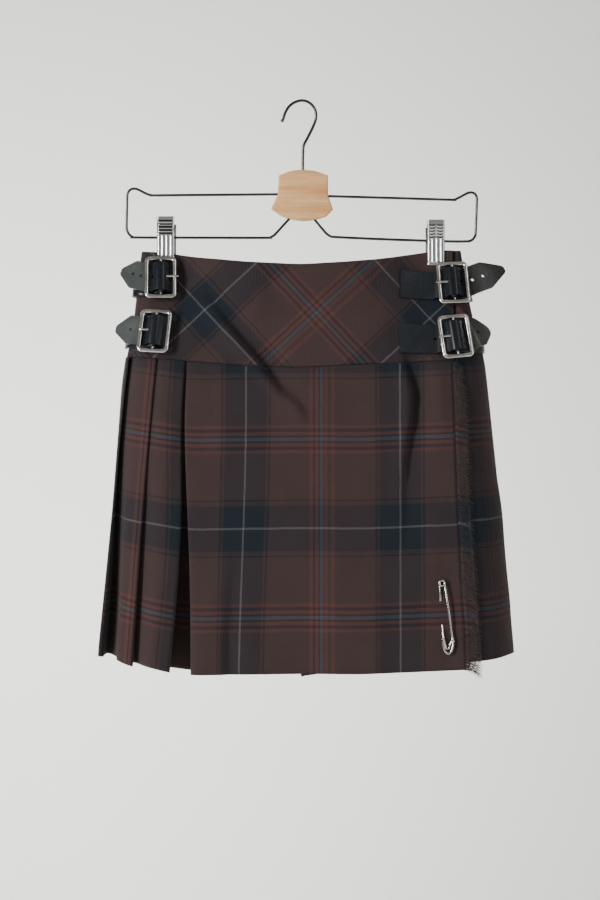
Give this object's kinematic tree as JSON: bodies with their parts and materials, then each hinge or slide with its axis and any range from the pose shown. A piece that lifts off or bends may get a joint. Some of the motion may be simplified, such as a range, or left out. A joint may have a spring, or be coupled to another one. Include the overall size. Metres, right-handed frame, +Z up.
{
  "type": "kilt skirt on a clip hanger",
  "caption": "Tartan kilt skirt with bias hip yoke, flat fringed apron, knife pleats, leather strap-and-buckle sides and a kilt pin, hung from a clip hanger.",
  "frame": {"origin": "inside top of the hanger's hook, where a rail holds it", "axes": "+Z up, the front of the skirt faces -Y, +X to the viewer's right as seen from the front"},
  "size_m": [0.4186, 0.1206, 0.5828],
  "materials": {
    "tartan": "wool twill tartan in dark brown and navy with fine dull red, blue-grey and off-white lines",
    "yoke_tartan": "the same wool twill tartan cut on the bias",
    "strap_leather": "smooth black leather, half gloss",
    "nickel": "nickel plate, slightly dulled",
    "clip_chrome": "bright chrome plate on pressed steel",
    "hanger_wire": "dark plated steel wire",
    "hanger_wood": "pale oiled wood with fine level grain"
  },
  "bodies": {
    "root": {"over_apron": "tartan", "left_pleats": "tartan", "back_pleats_left": "tartan", "back_pleats_right": "tartan", "under_apron": "tartan", "fringe": "tartan", "over_yoke": "yoke_tartan", "back_yoke": "yoke_tartan", "under_yoke": "yoke_tartan", "strap_left_upper": "strap_leather", "strap_left_lower": "strap_leather", "strap_right_upper": "strap_leather", "strap_right_lower": "strap_leather", "chape_left_upper": "strap_leather", "chape_left_lower": "strap_leather", "chape_right_upper": "strap_leather", "chape_right_lower": "strap_leather", "buckle_left_upper": "nickel", "buckle_left_lower": "nickel", "buckle_right_upper": "nickel", "buckle_right_lower": "nickel", "prong_left_upper": "nickel", "prong_left_lower": "nickel", "prong_right_upper": "nickel", "prong_right_lower": "nickel", "kilt_pin": "nickel", "kilt_pin_clasp": "nickel", "hanger_hook": "hanger_wire", "hanger_wire_left": "hanger_wire", "hanger_wire_right": "hanger_wire", "hanger_block": "hanger_wood", "clip_left_front": "clip_chrome", "clip_left_back": "clip_chrome", "clip_left_spring": "clip_chrome", "clip_right_front": "clip_chrome", "clip_right_back": "clip_chrome", "clip_right_spring": "clip_chrome"}
  },
  "joints": []
}
